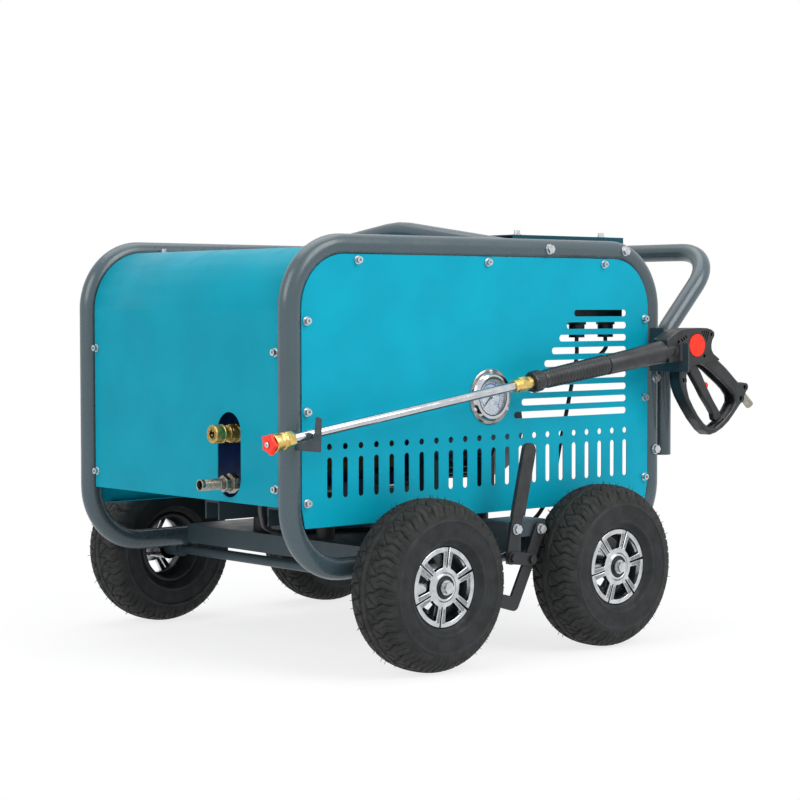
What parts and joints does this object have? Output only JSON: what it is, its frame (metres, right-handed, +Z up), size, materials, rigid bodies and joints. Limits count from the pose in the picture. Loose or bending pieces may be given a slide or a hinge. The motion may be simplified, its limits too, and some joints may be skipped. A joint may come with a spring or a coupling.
{
  "type": "pressure washer",
  "caption": "Electric pressure washer with a covered pump and motor in a tube frame on pneumatic wheels, with a push handle, parking brake, pressure gauge and side-stowed spray lance.",
  "frame": {"origin": "centre of the bounding box on the floor under the wheels", "axes": "+X towards the push handle, -X towards the hose fittings, -Y towards the side with the lance and gauge, +Z up"},
  "size_m": [1.079, 0.8152, 0.7062],
  "materials": {
    "frame_paint": "semi-gloss dark slate powder coat",
    "roof_paint": "semi-gloss dark teal powder coat",
    "panel_paint": "semi-gloss teal powder coat",
    "zinc_steel": "bright zinc plate",
    "gauge_chrome": "polished",
    "dial_white": "printed enamel",
    "needle_black": "matt",
    "gauge_glass": "clear",
    "cable_black": "satin",
    "pump_blue": "gloss enamel",
    "brass": "machined",
    "black_plastic": "fine grain",
    "motor_paint": "satin enamel",
    "rotor_steel": "machined",
    "mount_rubber": "matt",
    "switch_red": "gloss",
    "nickel": "nickel plate",
    "tyre_rubber": "matt moulded",
    "rim_polish": "polished",
    "grip_dip": "dipped vinyl",
    "lance_chrome": "polished",
    "gun_black": "fine spark grain",
    "signal_red": "gloss"
  },
  "bodies": {
    "machine": {"side_loop_near": "frame_paint", "side_loop_far": "frame_paint", "base_tray": "frame_paint", "axle_shafts": "frame_paint", "lift_bar": "frame_paint", "push_handle": "frame_paint", "panel_tabs": "frame_paint", "lance_hook": "frame_paint", "gun_rest": "frame_paint", "motor_rails": "frame_paint", "brake_bracket": "frame_paint", "roof_plate": "roof_paint", "side_panel_near": "panel_paint", "side_panel_far": "panel_paint", "end_cover": "panel_paint", "hex_bolts": "zinc_steel", "panel_screws": "zinc_steel", "wheel_bolts": "zinc_steel", "gauge_case": "gauge_chrome", "gauge_dial": "dial_white", "gauge_lens": "gauge_glass", "gauge_hose": "cable_black", "switch_cable": "cable_black", "pump_crankcase": "pump_blue", "bell_housing": "pump_blue", "pump_manifold": "brass", "unloader_valve": "brass", "outlet_coupler": "brass", "cable_glands": "black_plastic", "control_box": "black_plastic", "motor_body": "motor_paint", "rubber_mounts": "mount_rubber", "inlet_tail": "nickel"},
    "wheel_near_front": {"tyre_near_front": "tyre_rubber", "rim_near_front": "rim_polish"},
    "wheel_near_rear": {"tyre_near_rear": "tyre_rubber", "rim_near_rear": "rim_polish"},
    "wheel_far_front": {"tyre_far_front": "tyre_rubber", "rim_far_front": "rim_polish"},
    "wheel_far_rear": {"tyre_far_rear": "tyre_rubber", "rim_far_rear": "rim_polish"},
    "brake_lever": {"brake_lever": "frame_paint", "brake_grip": "grip_dip"},
    "brake_link": {"brake_link": "frame_paint"},
    "brake_foot": {"brake_foot": "frame_paint"},
    "gauge_needle": {"gauge_needle": "needle_black"},
    "unloader_knob": {"unloader_knob": "black_plastic"},
    "switch_knob": {"switch_knob": "switch_red"},
    "motor_rotor": {"motor_rotor": "rotor_steel"},
    "coupler_sleeve": {"coupler_sleeve": "brass"},
    "spray_gun": {"lance_tube": "lance_chrome", "lance_fittings": "brass", "lance_grip": "gun_black", "gun_shell": "gun_black", "gun_badge": "signal_red", "gun_inlet": "brass"},
    "lance_sleeve": {"lance_sleeve": "gun_black"},
    "spray_nozzle": {"spray_nozzle": "signal_red"},
    "trigger": {"trigger": "gun_black"},
    "trigger_latch": {"trigger_latch": "signal_red"}
  },
  "joints": [
    {"name": "wheel_near_front_spin", "type": "hinge", "parent": "machine", "child": "wheel_near_front", "pos_m": [-0.25871, -0.36, 0.133], "axis": [0, 1, 0], "continuous": true},
    {"name": "wheel_near_rear_spin", "type": "hinge", "parent": "machine", "child": "wheel_near_rear", "pos_m": [0.12329, -0.36, 0.133], "axis": [0, 1, 0], "continuous": true},
    {"name": "wheel_far_front_spin", "type": "hinge", "parent": "machine", "child": "wheel_far_front", "pos_m": [-0.25871, 0.36, 0.133], "axis": [0, 1, 0], "continuous": true},
    {"name": "wheel_far_rear_spin", "type": "hinge", "parent": "machine", "child": "wheel_far_rear", "pos_m": [0.12329, 0.36, 0.133], "axis": [0, 1, 0], "continuous": true},
    {"name": "brake_lever_hinge", "type": "hinge", "parent": "machine", "child": "brake_lever", "pos_m": [-0.07071, -0.355, 0.205], "axis": [0, 1, 0], "range_deg": [0, 12.2]},
    {"name": "brake_link_hinge", "type": "hinge", "parent": "brake_lever", "child": "brake_link", "pos_m": [-0.07971, -0.36, 0.16], "axis": [0, 1, 0], "range_deg": [-16.3, 0.5]},
    {"name": "brake_foot_hinge", "type": "hinge", "parent": "machine", "child": "brake_foot", "pos_m": [-0.01671, -0.355, 0.202], "axis": [0, 1, 0], "range_deg": [-0.5, 12.1]},
    {"name": "gauge_needle_hinge", "type": "hinge", "parent": "machine", "child": "gauge_needle", "pos_m": [-0.05871, -0.284, 0.4127], "axis": [0, 1, 0], "range_deg": [0, 270], "stiffness_Nm_per_rad": 0.002},
    {"name": "unloader_knob_hinge", "type": "hinge", "parent": "machine", "child": "unloader_knob", "pos_m": [-0.36671, -0.126, 0.415], "axis": [0, 0, 1], "range_deg": [-360, 360]},
    {"name": "switch_knob_hinge", "type": "hinge", "parent": "machine", "child": "switch_knob", "pos_m": [0.30629, -0.15, 0.6], "axis": [1, 0, 0], "range_deg": [0, 90]},
    {"name": "motor_shaft_spin", "type": "hinge", "parent": "machine", "child": "motor_rotor", "pos_m": [-0.05871, 0, 0.35], "axis": [1, 0, 0], "continuous": true},
    {"name": "coupler_sleeve_slide", "type": "slide", "parent": "machine", "child": "coupler_sleeve", "axis": [1, 0, 0], "range_m": [0, 0.005], "stiffness_N_per_m": 400},
    {"name": "gun_lift", "type": "slide", "parent": "machine", "child": "spray_gun", "axis": [0, 0, 1], "range_m": [0, 0.12]},
    {"name": "lance_sleeve_spin", "type": "hinge", "parent": "spray_gun", "child": "lance_sleeve", "pos_m": [-0.00382, -0.33191, 0.43735], "axis": [0.9889, -0.0216, 0.1471], "continuous": true},
    {"name": "nozzle_pull", "type": "slide", "parent": "spray_gun", "child": "spray_nozzle", "axis": [-0.9889, 0.0216, -0.1471], "range_m": [0, 0.018]},
    {"name": "trigger_hinge", "type": "hinge", "parent": "spray_gun", "child": "trigger", "pos_m": [0.35917, -0.33983, 0.45999], "axis": [-0.0218, -0.9998, 0], "range_deg": [0, 15], "stiffness_Nm_per_rad": 0.6},
    {"name": "trigger_latch_hinge", "type": "hinge", "parent": "trigger", "child": "trigger_latch", "pos_m": [0.40128, -0.34074, 0.41469], "axis": [0.0218, 0.9998, 0], "range_deg": [0, 60]}
  ],
  "couplings": [
    {"joint": "brake_link_hinge", "follows": "brake_lever_hinge", "ratio": -1.295},
    {"joint": "brake_foot_hinge", "follows": "brake_lever_hinge", "ratio": 0.955}
  ]
}
